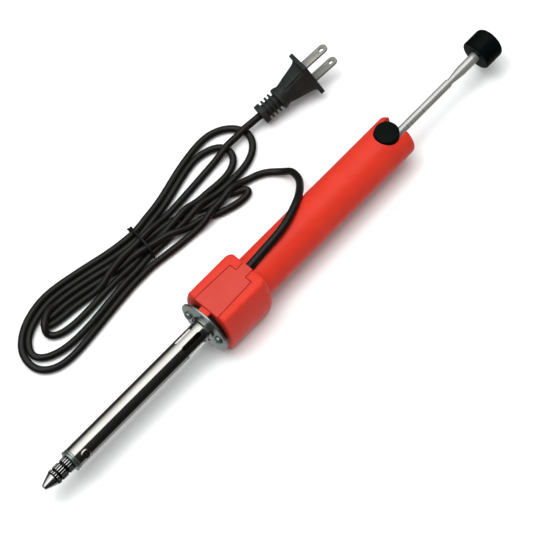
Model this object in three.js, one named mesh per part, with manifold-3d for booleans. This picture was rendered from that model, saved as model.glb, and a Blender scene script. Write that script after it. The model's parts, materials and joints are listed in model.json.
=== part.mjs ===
// Electric desoldering pump: a heated hollow nozzle, a spring-driven suction pump in the handle,
// a trigger button that lets the loaded plunger fly back, and a mains cord tied in a hank.
// Millimetres, +Z up. The tool lies along X, nozzle towards -X, plunger knob towards +X,
// with x = 0 at the middle of its length and z = 0 under the flat of its front housing.
import * as THREE from 'three';
import * as BufferGeometryUtils from 'three/addons/utils/BufferGeometryUtils.js';
import Module from 'manifold-3d';

const wasm = await Module();
wasm.setup();

// ---------------------------------------------------------------- driving dimensions
const LENGTH = 370; // nozzle face to knob face, plunger out
const AXIS_HEIGHT = 18; // centre line above the bench
const GAP = 0.1; // clearance left between assembled pieces
const FACES = 32; // sides of a large round piece
const FACES_SMALL = 24;

const TIP_X = -LENGTH / 2;
const KNOB_END_X = LENGTH / 2;

const NOZZLE = { faceR: 1.6, bandR: 4.7, grooveR: 4.05, boreR: 0.75, socketR: 2.6, endX: -160 };
const NOZZLE_SHOULDER_X = -177.6;
const NOZZLE_BANDS = [[-177.2, -175.1], [-174.1, -169.9], [-168.5, -164.9]];
const COLLAR = { startX: -164.7, endX: -161.9, r: 6.8, boreR: 4.3 };
const BARREL = { startX: -161.8, endX: -57.7, r: 6.4, boreR: 5.6, footR: 7.6, footLength: 1.6 };
const VENT = { startX: -77, endX: -62.6, width: 2.7, count: 6, firstAngle: 27 };
const SET_SCREW = {
  x: -156.4, headR: 2.9, headHeight: 1.5, shankR: 1.2, angle: 52, slotHalf: 0.4, slotDepth: 0.7,
};
const SUCTION_TUBE = { startX: -171.5, endX: -17.6, r: 2.4, boreR: 1.6 };
const HEATER = { startX: -152, endX: -92, coreR: 3.6, windingR: 4.3, sleeveR: 5.1, windingInset: 3 };
const FLANGE = { startX: -57.6, endX: -56.2, r: 17, boreR: 6.6 };
const FLANGE_SCREW = { pitchR: 11.6, headR: 2.9, headHeight: 1.9, shankR: 1.4, depth: 9, holeR: 1.6 };
const CROSS_RECESS = { half: 0.4, reach: 1.7, depth: 0.8 };
const SPACER = { startX: -56.1, endX: -53.3, r: 13.6, boreR: 4.5 };

const HOUSING = { startX: -53.2, endX: -19, taperX: -23.6, halfHeight: 18, flatHalf: 11.4 };
const HOUSING_SIDE = { shoulderY: 14.6, shoulderZ: 15.6, bulgeY: 20.2, taper: 0.11 };
const LUG = { half: 3.4, lowZ: 13.9, highZ: 16.6 };
const COVER = {
  endX: -25.3, frontHalf: 8.9, rearHalf: 7.9, thickness: 2.4, tongueHalf: 3.45, tongueThickness: 1.1,
};
const TUBE_WAY_R = 3.2;
const CAVITY = { startX: -49.5, endX: -26.5, halfWidth: 7.4, floorZ: -11 };
const TERMINAL_BOARD = { startX: -47, endX: -31, halfWidth: 6.8, floorZ: -10.9, topZ: -4.6 };
const TERMINAL_SCREW = { x: -39, y: 4, headR: 2.1, headHeight: 1.4, shankR: 1.15, holeR: 1.3, depth: 3.4 };
// routes of the left-hand wires: cord to terminal board, and terminal board to heater
const SUPPLY_WIRE_R = 0.75;
const SUPPLY_WIRE_ROUTE = [
  [-27.4, 2.6, 11.6], [-29.4, 4.6, 9.6], [-31, 5.6, 5], [-32, 5.6, 0.4], [-33, 5.6, -3.4],
];
const HEATER_WIRE_R = 0.6;
const HEATER_WIRE_ROUTE = [[-44.6, 4.7, -3.6], [-46.4, 4.7, -1.8], [-47.6, 4.4, 0.4], [-48.6, 4.2, 1.6]];

const HANDLE = { endX: 105, r: 13.2, boreR: 10.5, boreEndX: 83, rimR: 2.6, spigotR: 11.6, spigotX: -24.5 };
const CYLINDER = { startX: -13.2, endX: 82.6, r: 10.3, boreR: 9.2 };
const CYLINDER_HEAD = { startX: -17.4, endX: -13.3, r: 10.3, boreR: 1.6 };
const ROD = {
  r: 2.5, neckR: 2, thickR: 3, spigotR: 1.6, spigotX: 73, neckX: 147.7, coneX: 149.8, thickX: 158.4,
};
const PISTON = { startX: 68, endX: 80, r: 8.9, grooveR: 7.6, grooveStartX: 71.6, grooveEndX: 74.4 };
const BUMPER = { startX: 80.1, endX: 82.4, r: 8, boreR: 2.8 };
const KNOB = { startX: 170.5, r: 9.6, holeR: 3.15, holeEndX: 177.2, frontEdge: 1.3, rearEdge: 3.2 };
const GUIDE_BUSH = { startX: 83.1, endX: 87, r: 4.6, boreR: 2.75 };
const PLUNGER_SPRING = { startX: -12.4, endX: 67.8, coilR: 7.2, wireR: 0.6, turns: 10 };

const BUTTON = { x: 95.3, r: 7.35, topZ: 13.7, bottomZ: 9.2, edge: 1, crown: 0.4 };
const BUTTON_POCKET = { r: 7.75, floorZ: -8.6, slotHalf: 7, slotFloorZ: -4.6 };
const LATCH = {
  startX: 96, endX: 97.2, halfWidth: 5, neckHalf: 4, bottomZ: -5.5, shoulderZ: 7.2, neckZ: 8.2, topZ: 11.6,
  holeHalf: 2.85, pressRoom: 2.8,
};
const BUTTON_SPRING = { x: 96.6, topZ: -5.8, bottomZ: -11.2, coilR: 2.2, wireR: 0.3, turns: 4, seatR: 2.9 };

const CORD_R = 2.15;
const SLEEVE = { startR: 2.7, endR: 2.4, startX: -24.6, length: 31, startZ: 13.9, rise: 3.6, swing: 3 };
const CORD_SIDES = 10;

// route of the free lead, from the sleeve over the handle and down to the bench beside the hank
const LEAD_ROUTE = [
  [6.9, 1.9, 33.85],
  [10.3, 2.2, 33.95],
  [13.8, 2.9, 33.8],
  [17.7, 4.1, 33.3],
  [21.7, 5.6, 32.5],
  [25.4, 7.1, 31.6],
  [29.6, 9, 30.5],
  [34, 11.8, 27.8],
  [38.8, 15.6, 23.4],
  [43.2, 19.9, 18.7],
  [46.8, 24.4, 14.4],
  [49.1, 28.7, 11],
  [50.3, 33.1, 8.2],
  [50.5, 37.5, 6],
  [49.7, 41.7, 4.4],
  [47.9, 45.2, 3.4],
  [45.7, 48, 2.8],
  [42.6, 50.4, 2.6],
  [40.4, 51.3, 2.6],
];
// outer outline of the hank as it lies, waisted where the tie holds it
const HANK_OUTLINE = [
  [-138.6, 62], [-134.4, 52.8], [-122, 47.6], [-104, 48.7], [-84, 52.6], [-60, 55.6], [-42, 53],
  [-22, 49.9], [-4, 50], [8, 46.4], [22, 43.4], [31, 46], [35, 51.8], [46.5, 57.8], [56.4, 64],
  [58.6, 72], [57, 81], [50.4, 88.6], [38, 92.8], [22, 92], [2, 87.2], [-18, 82.6], [-38, 82.4],
  [-62, 86.8], [-96, 91.6], [-110, 90.8], [-122, 86.4], [-133, 76],
];
const HANK_HEIGHT = 12;
const TIE = { x: -38.2, halfLength: 0.7, nearY: 52.2, farY: 83.6, topZ: 13, thickness: 0.5 };
const PLUG_LEAD_ROUTE = [
  [59.6, 74.1, 7.2],
  [61.6, 73.9, 6.9],
  [63.6, 73.7, 6.75],
  [65.3, 73.45, 6.83],
];
const PLUG = { x: 66, y: 73.4, z: 6.9, yaw: -8.8, pitch: 13, roll: 70.6 };
const PLUG_RELIEF = {
  length: 15.5, endRingR: 6.2, coreR: 4.4, finStart: 5, finPitch: 2.7, finWidth: 1.2, finCount: 3, collarR: 7,
};
const PLUG_BODY = { startX: 15.8, plateX: 34.8, width: 12.4, height: 10.4, endWidth: 19.5, endHeight: 14.2 };
const PLUG_PLATE = { width: 25.5, height: 17, thickness: 2.6, corner: 1.2 };
const BLADE = { spacing: 12.7, width: 6.3, thickness: 1.5, length: 17.2, holeR: 1.5, holeFromEnd: 4 };

// ---------------------------------------------------------------- materials
function material(color, roughness, metalness) {
  return new THREE.MeshStandardMaterial({ color, roughness, metalness });
}
const RED = material(0xf04634, 0.45, 0);
const COVER_RED = material(0xe85449, 0.6, 0);
const BLACK = material(0x0b0f10, 0.5, 0);
const CORD_BLACK = material(0x222220, 0.55, 0);
const CHROME = material(0xe6e4df, 0.08, 1);
const NOZZLE_STEEL = material(0x6f7173, 0.35, 1);
const ZINC = material(0x9fa7a2, 0.3, 1);
const STEEL = material(0xbcbdb8, 0.3, 1);
const CERAMIC = material(0xe9e2d2, 0.8, 0);
const NICHROME = material(0x8b8378, 0.5, 1);
const MICA = material(0xb7a98b, 0.7, 0);
const PHENOLIC = material(0x141312, 0.7, 0);
const ALUMINIUM = material(0xc9cbcd, 0.35, 1);
const RUBBER = material(0x111111, 0.85, 0);
const BRASS = material(0xc9a14a, 0.3, 1);
const WIRE_BLUE = material(0x31506f, 0.6, 0);
const WIRE_BROWN = material(0x5b3624, 0.6, 0);

// ---------------------------------------------------------------- geometry helpers
const toRadians = THREE.MathUtils.degToRad;

function solid(geometry) {
  const bare = geometry.clone();
  bare.deleteAttribute('normal');
  bare.deleteAttribute('uv');
  const merged = BufferGeometryUtils.mergeVertices(bare, 1e-4);
  return new wasm.Manifold(
    new wasm.Mesh({
      numProp: 3,
      vertProperties: new Float32Array(merged.attributes.position.array),
      triVerts: new Uint32Array(merged.index.array),
    }),
  );
}

function geometryOf(manifold) {
  const mesh = manifold.getMesh();
  const geometry = new THREE.BufferGeometry();
  geometry.setAttribute('position', new THREE.BufferAttribute(mesh.vertProperties, 3));
  geometry.setIndex(new THREE.BufferAttribute(mesh.triVerts, 1));
  geometry.computeVertexNormals();
  return geometry;
}

function cut(body, ...tools) {
  return geometryOf(tools.reduce((rest, tool) => rest.subtract(solid(tool)), solid(body)));
}

function join(...pieces) {
  return geometryOf(pieces.slice(1).reduce((sum, piece) => sum.add(solid(piece)), solid(pieces[0])));
}

// a piece turned about the X axis, from [x, radius] profile points listed towards +X
function turned(profile, faces = FACES) {
  const points = profile.map(([x, r]) => new THREE.Vector2(r, x));
  return new THREE.LatheGeometry(points, faces).rotateZ(-Math.PI / 2);
}

function rod(startX, endX, r, faces = FACES) {
  return turned([[startX, 0], [startX, r], [endX, r], [endX, 0]], faces);
}

function tube(startX, endX, r, boreR, faces = FACES) {
  return turned([[startX, boreR], [startX, r], [endX, r], [endX, boreR], [startX, boreR]], faces);
}

function box(x0, x1, y0, y1, z0, z1) {
  const geometry = new THREE.BoxGeometry(x1 - x0, y1 - y0, z1 - z0);
  return geometry.translate((x0 + x1) / 2, (y0 + y1) / 2, (z0 + z1) / 2);
}

function uprightCylinder(x, z0, z1, r, faces = FACES) {
  const geometry = new THREE.CylinderGeometry(r, r, z1 - z0, faces);
  return geometry.rotateX(Math.PI / 2).translate(x, 0, (z0 + z1) / 2);
}

// an outline drawn in (y, z) and pushed along X
function extrudeAlongX(shape, startX, length, steps = 1, curveSegments = 6) {
  const options = { depth: length, steps, bevelEnabled: false, curveSegments };
  const geometry = new THREE.ExtrudeGeometry(shape, options);
  return geometry.rotateX(Math.PI / 2).rotateZ(Math.PI / 2).translate(startX, 0, 0);
}

function ringShape(r, sides) {
  const shape = new THREE.Shape();
  for (let i = 0; i < sides; i++) {
    const angle = (2 * Math.PI * i) / sides;
    if (i === 0) shape.moveTo(r, 0);
    else shape.lineTo(r * Math.cos(angle), r * Math.sin(angle));
  }
  shape.closePath();
  return shape;
}

function wire(points, r, sides, steps) {
  const path = new THREE.CatmullRomCurve3(points.map((p) => new THREE.Vector3(...p)), false, 'centripetal');
  return new THREE.ExtrudeGeometry(ringShape(r, sides), { steps, bevelEnabled: false, extrudePath: path });
}

// a coil spring along X
function coilSpring({ startX, endX, coilR, wireR, turns }, stepsPerTurn = 10, sides = 6) {
  const points = [];
  const total = turns * stepsPerTurn;
  const run = endX - startX - 2 * wireR;
  for (let i = 0; i <= total; i++) {
    const angle = (2 * Math.PI * i) / stepsPerTurn;
    points.push([startX + wireR + (run * i) / total, coilR * Math.cos(angle), coilR * Math.sin(angle)]);
  }
  return wire(points, wireR, sides, total);
}

const tool = new THREE.Group();
tool.position.z = AXIS_HEIGHT;
const desolderingPump = new THREE.Group();
desolderingPump.add(tool);

function place(name, geometry, finish, parent = tool) {
  const mesh = new THREE.Mesh(geometry, finish);
  mesh.name = name;
  parent.add(mesh);
  return mesh;
}

// ---------------------------------------------------------------- nozzle and heated barrel
function nozzleTip() {
  const { faceR, bandR, grooveR, boreR, socketR, endX } = NOZZLE;
  const outside = [[TIP_X, boreR], [TIP_X, faceR], [NOZZLE_SHOULDER_X, bandR - 0.25]];
  for (const [start, end] of NOZZLE_BANDS) {
    outside.push([start - 0.2, grooveR], [start, bandR], [end, bandR], [end + 0.2, grooveR]);
  }
  const mouthX = SUCTION_TUBE.startX - GAP;
  const inside = [[endX, grooveR], [endX, socketR], [mouthX, socketR], [mouthX, boreR], [TIP_X, boreR]];
  return turned([...outside, ...inside], FACES_SMALL);
}

function barrelCollar() {
  const { startX, endX, r, boreR } = COLLAR;
  const edge = 0.5;
  const profile = [[startX, boreR], [startX, r - edge], [startX + edge, r], [endX, r], [endX, boreR]];
  return turned([...profile, [startX, boreR]], FACES);
}

function ventSlot(angle) {
  const { startX, endX, width } = VENT;
  const half = width / 2;
  const shape = new THREE.Shape();
  shape.absarc(startX + half, 0, half, Math.PI / 2, (3 * Math.PI) / 2, false);
  shape.absarc(endX - half, 0, half, -Math.PI / 2, Math.PI / 2, false);
  const options = { depth: BARREL.r + 2, bevelEnabled: false, curveSegments: 4 };
  const slot = new THREE.ExtrudeGeometry(shape, options);
  return slot.rotateX(toRadians(angle));
}

function setScrewParts(clearance) {
  const { x, headR, headHeight, shankR, angle } = SET_SCREW;
  const seat = BARREL.r - 0.4;
  const shank = uprightCylinder(x, BARREL.boreR - 0.6, seat + 0.2, shankR + clearance, 16);
  const head = uprightCylinder(x, seat, seat + headHeight, headR + clearance, FACES_SMALL);
  return [shank, head].map((part) => part.rotateX(toRadians(angle)));
}

function tipSetScrew() {
  const { x, headR, headHeight, angle, slotHalf, slotDepth } = SET_SCREW;
  const [shank, head] = setScrewParts(0);
  const top = BARREL.r - 0.4 + headHeight;
  const slot = box(x - headR - 1, x + headR + 1, -slotHalf, slotHalf, top - slotDepth, top + 1);
  slot.rotateX(toRadians(angle));
  return geometryOf(solid(shank).add(solid(head)).subtract(solid(slot)));
}

function heaterBarrel() {
  const { startX, endX, r, boreR, footR, footLength } = BARREL;
  const footX = endX - footLength;
  const tubeWall = [[startX, boreR], [startX, r], [footX, r]];
  const foot = [[footX + 0.8, footR], [endX, footR], [endX, boreR], [startX, boreR]];
  const slots = [];
  for (let i = 0; i < VENT.count; i++) slots.push(ventSlot(VENT.firstAngle + (360 * i) / VENT.count));
  return cut(turned([...tubeWall, ...foot]), ...slots, ...setScrewParts(0.15));
}

function suctionTube() {
  const { startX, endX, r, boreR } = SUCTION_TUBE;
  return tube(startX, endX, r, boreR, 20);
}

// one layer of the heater, wrapped round the layer inside it
function heaterLayer(innerR, outerR, inset) {
  return tube(HEATER.startX + inset, HEATER.endX - inset, outerR, innerR + GAP, 20);
}

// the two holes that the flange screws pass through
function screwHoles(startX, endX) {
  const { pitchR, holeR } = FLANGE_SCREW;
  return [-1, 1].map((side) => rod(startX, endX, holeR, 16).translate(0, side * pitchR, 0));
}

function mountingFlange() {
  const { startX, endX, r, boreR } = FLANGE;
  return cut(tube(startX, endX, r, boreR, 40), ...screwHoles(startX - 1, endX + 1));
}

function flangeScrew(side) {
  const { pitchR, headR, headHeight, shankR, depth } = FLANGE_SCREW;
  const seatX = FLANGE.startX - GAP;
  const headX = seatX - headHeight;
  const profile = [[headX, 0], [headX, headR * 0.55], [headX + 0.5, headR * 0.9], [seatX, headR]];
  const body = turned([...profile, [seatX, shankR], [seatX + depth, shankR], [seatX + depth, 0]], 18);
  const { half, reach } = CROSS_RECESS;
  const floorX = headX + CROSS_RECESS.depth;
  const uprightSlot = box(headX - 1, floorX, -half, half, -reach, reach);
  const levelSlot = box(headX - 1, floorX, -reach, reach, -half, half);
  return cut(body, uprightSlot, levelSlot).translate(0, side * pitchR, 0);
}

function flangeSpacer() {
  const { startX, endX, r, boreR } = SPACER;
  return cut(tube(startX, endX, r, boreR), ...screwHoles(startX - 1, endX + 1));
}

// ---------------------------------------------------------------- front housing and its cover
function housingSection() {
  const { halfHeight, flatHalf } = HOUSING;
  const { shoulderY, shoulderZ, bulgeY } = HOUSING_SIDE;
  const shape = new THREE.Shape();
  shape.moveTo(-flatHalf, halfHeight);
  shape.lineTo(flatHalf, halfHeight);
  shape.quadraticCurveTo(shoulderY - 0.4, halfHeight, shoulderY, shoulderZ);
  shape.quadraticCurveTo(bulgeY, 0, shoulderY, -shoulderZ);
  shape.quadraticCurveTo(shoulderY - 0.4, -halfHeight, flatHalf, -halfHeight);
  shape.lineTo(-flatHalf, -halfHeight);
  shape.quadraticCurveTo(-shoulderY + 0.4, -halfHeight, -shoulderY, -shoulderZ);
  shape.quadraticCurveTo(-bulgeY, 0, -shoulderY, shoulderZ);
  shape.quadraticCurveTo(-shoulderY + 0.4, halfHeight, -flatHalf, halfHeight);
  return shape;
}

// the side walls draw in towards the handle while the top and bottom stay flat
function taperSides(geometry) {
  const { endX, taperX } = HOUSING;
  const position = geometry.attributes.position;
  for (let i = 0; i < position.count; i++) {
    const along = Math.max(0, (position.getX(i) - taperX) / (endX - taperX));
    position.setY(i, position.getY(i) * (1 - HOUSING_SIDE.taper * along));
  }
  return geometry;
}

function sleeveGeometry(clearance) {
  const { startR, endR, startX, length, startZ, rise, swing } = SLEEVE;
  const overrun = clearance ? 1 : 0;
  const endX = length + overrun;
  const profile = [[-overrun, 0], [-overrun, startR + clearance], [endX, endR + clearance], [endX, 0]];
  return turned(profile, FACES_SMALL)
    .rotateY(toRadians(-rise))
    .rotateZ(toRadians(swing))
    .translate(startX, 0.2, startZ);
}

// the cover's plate, which narrows towards the handle; with a clearance it is the recess cut for that plate
function coverPlate(clearance) {
  const { endX, frontHalf, rearHalf, thickness } = COVER;
  const frontX = HOUSING.startX - clearance;
  const rearX = endX + clearance;
  const front = frontHalf + clearance;
  const rear = rearHalf + clearance;
  const outline = [[frontX, -front], [rearX, -rear], [rearX, rear], [frontX, front]];
  const shape = new THREE.Shape(outline.map(([x, y]) => new THREE.Vector2(x, y)));
  const overrun = clearance ? 1 : 0;
  const depth = thickness + clearance + overrun;
  const plate = new THREE.ExtrudeGeometry(shape, { depth, bevelEnabled: false });
  return plate.translate(0, 0, HOUSING.halfHeight - thickness - clearance);
}

// the tongue that closes the housing over the cord; with a clearance it is the slot cut for it
function coverTongue(clearance) {
  const { endX, tongueHalf, tongueThickness } = COVER;
  const half = tongueHalf + clearance;
  const overrun = clearance ? 1 : 0;
  const top = HOUSING.halfHeight;
  return box(endX - 1, HOUSING.endX + overrun, -half, half, top - tongueThickness - clearance, top + overrun);
}

function frontHousing() {
  const { startX, endX, taperX, halfHeight } = HOUSING;
  const front = extrudeAlongX(housingSection(), startX, taperX - startX);
  const rear = taperSides(extrudeAlongX(housingSection(), taperX, endX - taperX));
  const lug = box(FLANGE.endX + GAP, startX + 1, -LUG.half, LUG.half, LUG.lowZ, LUG.highZ);
  const { halfWidth, floorZ } = CAVITY;
  const cavity = box(CAVITY.startX, CAVITY.endX, -halfWidth, halfWidth, floorZ, halfHeight);
  const tubeWay = rod(startX - 1, endX + 1, TUBE_WAY_R, FACES_SMALL);
  const spigotSocket = rod(HANDLE.spigotX - GAP, endX + 1, HANDLE.spigotR + GAP);
  const holes = screwHoles(startX - 1, FLANGE.startX + FLANGE_SCREW.depth + 1);
  return cut(join(front, rear, lug), coverPlate(GAP), coverTongue(GAP), cavity, tubeWay, spigotSocket,
    sleeveGeometry(0.15), ...holes);
}

function terminalCover() {
  return join(coverPlate(0), coverTongue(0));
}

// ---------------------------------------------------------------- terminals and leads in the housing
function terminalBoard() {
  const { startX, endX, halfWidth, floorZ, topZ } = TERMINAL_BOARD;
  const { x, y, holeR, depth } = TERMINAL_SCREW;
  const board = box(startX, endX, -halfWidth, halfWidth, floorZ, topZ);
  const holes = [-1, 1].map((side) => {
    return uprightCylinder(x, topZ - depth - 0.6, topZ + 1, holeR, 12).translate(0, side * y, 0);
  });
  return cut(board, ...holes);
}

function terminalScrew(side) {
  const { x, y, headR, headHeight, shankR, depth } = TERMINAL_SCREW;
  const seat = TERMINAL_BOARD.topZ + GAP;
  const shank = uprightCylinder(x, seat - depth, seat + 0.4, shankR, 12);
  const head = uprightCylinder(x, seat, seat + headHeight, headR, 16);
  return join(shank, head).translate(0, side * y, 0);
}

function onSide(route, side) {
  return route.map(([x, y, z]) => [x, side * y, z]);
}

function supplyWire(side) {
  return wire(onSide(SUPPLY_WIRE_ROUTE, side), SUPPLY_WIRE_R, 8, 14);
}

function heaterWire(side) {
  return wire(onSide(HEATER_WIRE_ROUTE, side), HEATER_WIRE_R, 8, 10);
}

function cordSleeve() {
  return sleeveGeometry(0);
}

// ---------------------------------------------------------------- handle and pump
function handleShell() {
  const { endX, r, boreR, boreEndX, rimR, spigotR, spigotX } = HANDLE;
  const frontX = HOUSING.endX + GAP;
  const outside = [[spigotX, boreR], [spigotX, spigotR], [frontX, spigotR], [frontX, r]];
  const rimSteps = 5;
  for (let i = 0; i <= rimSteps; i++) {
    const angle = (Math.PI / 2) * (i / rimSteps);
    outside.push([endX - rimR + rimR * Math.sin(angle), r - rimR + rimR * Math.cos(angle)]);
  }
  const bushR = GUIDE_BUSH.r + GAP;
  const inside = [[endX, bushR], [boreEndX, bushR], [boreEndX, boreR], [spigotX, boreR]];
  const shell = turned([...outside, ...inside], 40);
  const pocket = uprightCylinder(BUTTON.x, BUTTON_POCKET.floorZ, r + 2, BUTTON_POCKET.r, 32);
  const { slotHalf, slotFloorZ } = BUTTON_POCKET;
  const slot = box(BUTTON.x, endX + 2, -slotHalf, slotHalf, slotFloorZ, r + 2);
  const seat = uprightCylinder(BUTTON_SPRING.x, BUTTON_SPRING.bottomZ - 0.3, 0, BUTTON_SPRING.seatR, 16);
  return cut(shell, pocket, slot, seat, sleeveGeometry(0.15));
}

function pumpCylinder() {
  return tube(CYLINDER.startX, CYLINDER.endX, CYLINDER.r, CYLINDER.boreR);
}

function cylinderHead() {
  const { startX, endX, r, boreR } = CYLINDER_HEAD;
  return tube(startX, endX, r, boreR, FACES);
}

function guideBush() {
  return tube(GUIDE_BUSH.startX, GUIDE_BUSH.endX, GUIDE_BUSH.r, GUIDE_BUSH.boreR, FACES_SMALL);
}

function piston() {
  const { startX, endX, r, grooveR, grooveStartX, grooveEndX } = PISTON;
  const holeR = ROD.spigotR + GAP;
  const holeX = ROD.spigotX - GAP;
  const front = [[startX, 0], [startX, r], [grooveStartX, r]];
  const groove = [[grooveStartX, grooveR], [grooveEndX, grooveR], [grooveEndX, r]];
  return turned([...front, ...groove, [endX, r], [endX, holeR], [holeX, holeR], [holeX, 0]]);
}

function pistonRing() {
  const { grooveR, grooveStartX, grooveEndX } = PISTON;
  const middleX = (grooveStartX + grooveEndX) / 2;
  const outerR = CYLINDER.boreR - 0.05;
  const innerR = grooveR + 0.05;
  const centreR = (outerR + innerR) / 2;
  const sectionR = (outerR - innerR) / 2;
  const sides = 8;
  const profile = [];
  for (let i = 0; i <= sides; i++) {
    const angle = (2 * Math.PI * i) / sides;
    profile.push([middleX - sectionR * 1.2 * Math.sin(angle), centreR - sectionR * Math.cos(angle)]);
  }
  return turned(profile);
}

function plungerRod() {
  const { r, neckR, thickR, spigotR, spigotX, neckX, coneX, thickX } = ROD;
  const shoulderX = PISTON.endX + GAP;
  const endX = KNOB.holeEndX - GAP;
  const profile = [[spigotX, 0], [spigotX, spigotR], [shoulderX, spigotR], [shoulderX, r], [neckX, r]];
  return turned([...profile, [neckX, neckR], [coneX, neckR], [thickX, thickR], [endX, thickR], [endX, 0]],
    FACES_SMALL);
}

function plungerKnob() {
  const { startX, r, holeR, holeEndX, frontEdge, rearEdge } = KNOB;
  const profile = [[startX, holeR], [startX, r - frontEdge], [startX + 0.4 * frontEdge, r - 0.4 * frontEdge],
    [startX + frontEdge, r]];
  const steps = 5;
  for (let i = 0; i <= steps; i++) {
    const angle = (Math.PI / 2) * (i / steps);
    const x = KNOB_END_X - rearEdge + rearEdge * Math.sin(angle);
    profile.push([x, r - rearEdge + rearEdge * Math.cos(angle)]);
  }
  profile.push([KNOB_END_X, 0], [holeEndX, 0], [holeEndX, holeR], [startX, holeR]);
  return turned(profile);
}

// ---------------------------------------------------------------- trigger button and latch
function releaseButton() {
  const { x, r, topZ, bottomZ, edge, crown } = BUTTON;
  const side = [[0, bottomZ], [r - 0.3, bottomZ], [r, bottomZ + 0.3], [r, topZ - edge]];
  const top = [[r - 0.3 * edge, topZ - 0.3 * edge], [r - edge, topZ], [0, topZ + crown]];
  const points = [...side, ...top].map(([radius, z]) => new THREE.Vector2(radius, z));
  const disc = new THREE.LatheGeometry(points, FACES).rotateX(Math.PI / 2).translate(x, 0, 0);
  const halfTop = LATCH.neckHalf;
  const latchSlot = box(LATCH.startX - GAP, LATCH.endX + GAP, -halfTop - GAP, halfTop + GAP, bottomZ - 1,
    LATCH.topZ + GAP);
  return cut(disc, latchSlot);
}

function latchPlate() {
  const { startX, endX, halfWidth, neckHalf, bottomZ, shoulderZ, neckZ, topZ, holeHalf, pressRoom } = LATCH;
  const right = [[halfWidth, bottomZ], [halfWidth, shoulderZ], [neckHalf, neckZ], [neckHalf, topZ]];
  const left = right.map(([y, z]) => [-y, z]).reverse();
  const shape = new THREE.Shape([...right, ...left].map(([y, z]) => new THREE.Vector2(y, z)));
  const hole = new THREE.Path();
  hole.absarc(0, 0, holeHalf, Math.PI, 2 * Math.PI, false);
  hole.absarc(0, pressRoom, holeHalf, 0, Math.PI, false);
  hole.closePath();
  shape.holes.push(hole);
  return extrudeAlongX(shape, startX, endX - startX, 1, 8);
}

function buttonSpring() {
  const { x, topZ, bottomZ, coilR, wireR, turns } = BUTTON_SPRING;
  const coil = coilSpring({ startX: 0, endX: topZ - bottomZ, coilR, wireR, turns }, 10, 6);
  return coil.rotateY(-Math.PI / 2).translate(x, 0, bottomZ);
}

// ---------------------------------------------------------------- mains cord
function hank() {
  const curve = new THREE.CatmullRomCurve3(
    HANK_OUTLINE.map(([x, y]) => new THREE.Vector3(x, y, 0)),
    true,
    'centripetal',
  );
  const outline = curve.getPoints(84).slice(0, -1);
  const shape = new THREE.Shape(outline.map((p) => new THREE.Vector2(p.x, p.y)));
  return new THREE.ExtrudeGeometry(shape, { depth: HANK_HEIGHT, bevelEnabled: false });
}

// the tie passes over the waist of the hank and down both sides of it
function cordTie() {
  const { x, halfLength, nearY, farY, topZ, thickness } = TIE;
  const outer = box(x - halfLength, x + halfLength, nearY - thickness, farY + thickness, 0, topZ);
  const inner = box(x - halfLength - 1, x + halfLength + 1, nearY, farY, -1, HANK_HEIGHT + 0.3);
  return cut(outer, inner);
}

const plug = new THREE.Group();
plug.rotation.set(toRadians(PLUG.roll), toRadians(-PLUG.pitch), toRadians(PLUG.yaw), 'ZYX');
plug.position.set(PLUG.x, PLUG.y, PLUG.z);
desolderingPump.add(plug);

function plugRelief() {
  const { length, endRingR, coreR, finStart, finPitch, finWidth, finCount, collarR } = PLUG_RELIEF;
  const profile = [[0, 0], [0, endRingR - 0.5], [0.5, endRingR], [3.6, endRingR], [3.6, coreR]];
  for (let i = 0; i < finCount; i++) {
    const x = finStart + i * finPitch;
    const r = endRingR + 0.15 * i;
    profile.push([x, coreR], [x, r], [x + finWidth, r], [x + finWidth, coreR]);
  }
  profile.push([length - 2.2, coreR], [length - 1.6, collarR], [length, collarR], [length, 0]);
  return turned(profile, 20);
}

// a rounded rectangle in (y, z)
function roundedSection(width, height, corner) {
  const w = width / 2;
  const h = height / 2;
  const shape = new THREE.Shape();
  shape.moveTo(-w + corner, -h);
  shape.lineTo(w - corner, -h);
  shape.quadraticCurveTo(w, -h, w, -h + corner);
  shape.lineTo(w, h - corner);
  shape.quadraticCurveTo(w, h, w - corner, h);
  shape.lineTo(-w + corner, h);
  shape.quadraticCurveTo(-w, h, -w, h - corner);
  shape.lineTo(-w, -h + corner);
  shape.quadraticCurveTo(-w, -h, -w + corner, -h);
  return shape;
}

// the moulded body widens to the face plate that stops against the socket
function plugBody() {
  const { startX, plateX, width, height, endWidth, endHeight } = PLUG_BODY;
  const length = plateX - startX;
  const body = extrudeAlongX(roundedSection(width, height, 3), startX, length, 1, 3);
  const position = body.attributes.position;
  for (let i = 0; i < position.count; i++) {
    const along = (position.getX(i) - startX) / length;
    position.setY(i, position.getY(i) * (1 + (endWidth / width - 1) * along));
    position.setZ(i, position.getZ(i) * (1 + (endHeight / height - 1) * along));
  }
  const plateShape = roundedSection(PLUG_PLATE.width, PLUG_PLATE.height, PLUG_PLATE.corner);
  const overlap = 0.2;
  const plate = extrudeAlongX(plateShape, plateX - overlap, PLUG_PLATE.thickness + overlap, 1, 3);
  return join(body, plate);
}

function plugBlade(side) {
  const { spacing, width, thickness, length, holeR, holeFromEnd } = BLADE;
  const startX = PLUG_BODY.plateX + PLUG_PLATE.thickness + 0.3;
  const endX = startX + length;
  const half = width / 2;
  const shape = new THREE.Shape();
  shape.moveTo(startX, -half);
  shape.lineTo(endX - half, -half);
  shape.absarc(endX - half, 0, half, -Math.PI / 2, Math.PI / 2, false);
  shape.lineTo(startX, half);
  shape.closePath();
  const hole = new THREE.Path();
  hole.absarc(endX - holeFromEnd, 0, holeR, 0, 2 * Math.PI, true);
  shape.holes.push(hole);
  const blade = new THREE.ExtrudeGeometry(shape, { depth: thickness, bevelEnabled: false, curveSegments: 8 });
  return blade.rotateX(Math.PI / 2).translate(0, (side * spacing) / 2 + thickness / 2, 0);
}

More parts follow.
